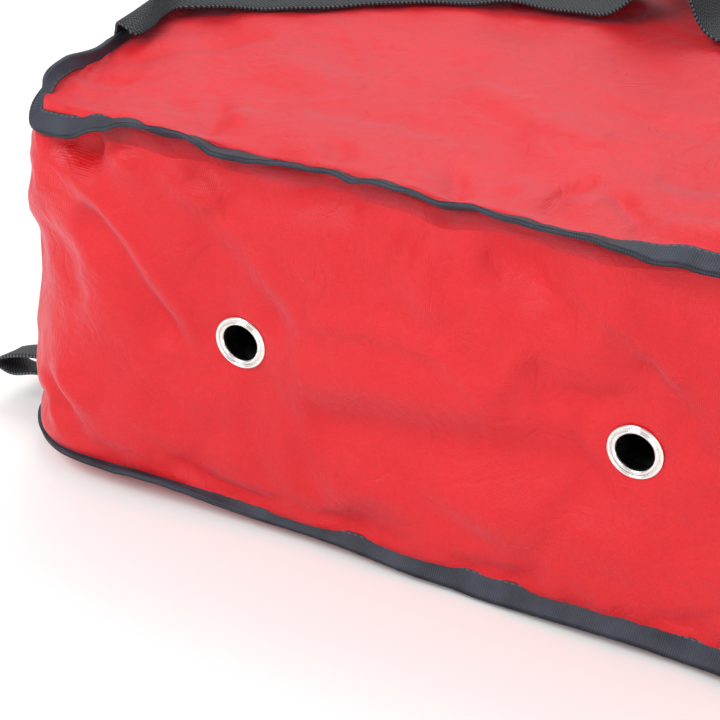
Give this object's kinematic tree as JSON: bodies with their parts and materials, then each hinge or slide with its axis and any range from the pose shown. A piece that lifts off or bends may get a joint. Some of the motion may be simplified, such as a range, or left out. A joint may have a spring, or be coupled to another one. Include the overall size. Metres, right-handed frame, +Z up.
{
  "type": "insulated carrier bag",
  "caption": "Soft padded box bag with a rear flap, two slack webbing handles over the top, vent eyelets in the front wall, bound seams and small side grab loops.",
  "frame": {"origin": "middle of the base at the ground", "axes": "+Z up; -Y out of the front wall that holds the eyelets; +Y out of the rear flap; +X to the right when facing the front wall"},
  "size_m": [0.526, 0.5067, 0.237],
  "materials": {
    "outer_fabric": "satin coated weave",
    "binding": "ribbed tape",
    "webbing": "woven webbing",
    "foam": "closed-cell foam",
    "lining": "silver coated lining",
    "hook_loop": "hook and loop",
    "board": "matte sheet",
    "nickel": "bright nickel plate"
  },
  "bodies": {
    "bag": {"anchor_strap_front_left": "webbing", "anchor_strap_front_right": "webbing", "anchor_strap_rear_left": "webbing", "anchor_strap_rear_right": "webbing", "base_board": "board", "binding_bottom": "binding", "binding_opening": "binding", "binding_top": "binding", "closure_loop_strip": "hook_loop", "eyelet_left": "nickel", "eyelet_right": "nickel", "eyelet_washer_left": "nickel", "eyelet_washer_right": "nickel", "foam_bottom": "foam", "foam_front": "foam", "foam_left": "foam", "foam_right": "foam", "foam_top": "foam", "hinge_seam": "binding", "lining_band": "lining", "lining_bottom": "lining", "lining_top": "lining", "loop_patch_left": "webbing", "loop_patch_right": "webbing", "outer_band": "outer_fabric", "outer_bottom": "outer_fabric", "outer_top": "outer_fabric", "rear_lip_foam": "foam", "rear_lip_lining": "lining", "rear_lip_outer": "outer_fabric"},
    "flap": {"flap_outer": "outer_fabric", "flap_foam": "foam", "flap_lining": "lining", "flap_binding": "binding", "closure_hook_strip": "hook_loop", "pull_tab": "webbing"},
    "handle_front": {"handle_front": "webbing"},
    "handle_rear": {"handle_rear": "webbing"},
    "grab_loop_left": {"grab_loop_left": "webbing"},
    "grab_loop_right": {"grab_loop_right": "webbing"}
  },
  "joints": [
    {"name": "flap_hinge", "type": "hinge", "parent": "bag", "child": "flap", "pos_m": [0, 0.2507, 0.188], "axis": [1, 0, 0], "range_deg": [0, 180]},
    {"name": "handle_front_lift", "type": "hinge", "parent": "bag", "child": "handle_front", "pos_m": [0, -0.15, 0.196], "axis": [1, 0, 0], "range_deg": [0, 165]},
    {"name": "handle_rear_lift", "type": "hinge", "parent": "bag", "child": "handle_rear", "pos_m": [0, 0.15, 0.196], "axis": [-1, 0, 0], "range_deg": [0, 100]},
    {"name": "grab_loop_left_swing", "type": "hinge", "parent": "bag", "child": "grab_loop_left", "pos_m": [-0.2209, -0.207, 0.024], "axis": [0, 1, 0], "range_deg": [-20, 75]},
    {"name": "grab_loop_right_swing", "type": "hinge", "parent": "bag", "child": "grab_loop_right", "pos_m": [0.2209, -0.207, 0.024], "axis": [0, -1, 0], "range_deg": [-20, 75]}
  ]
}
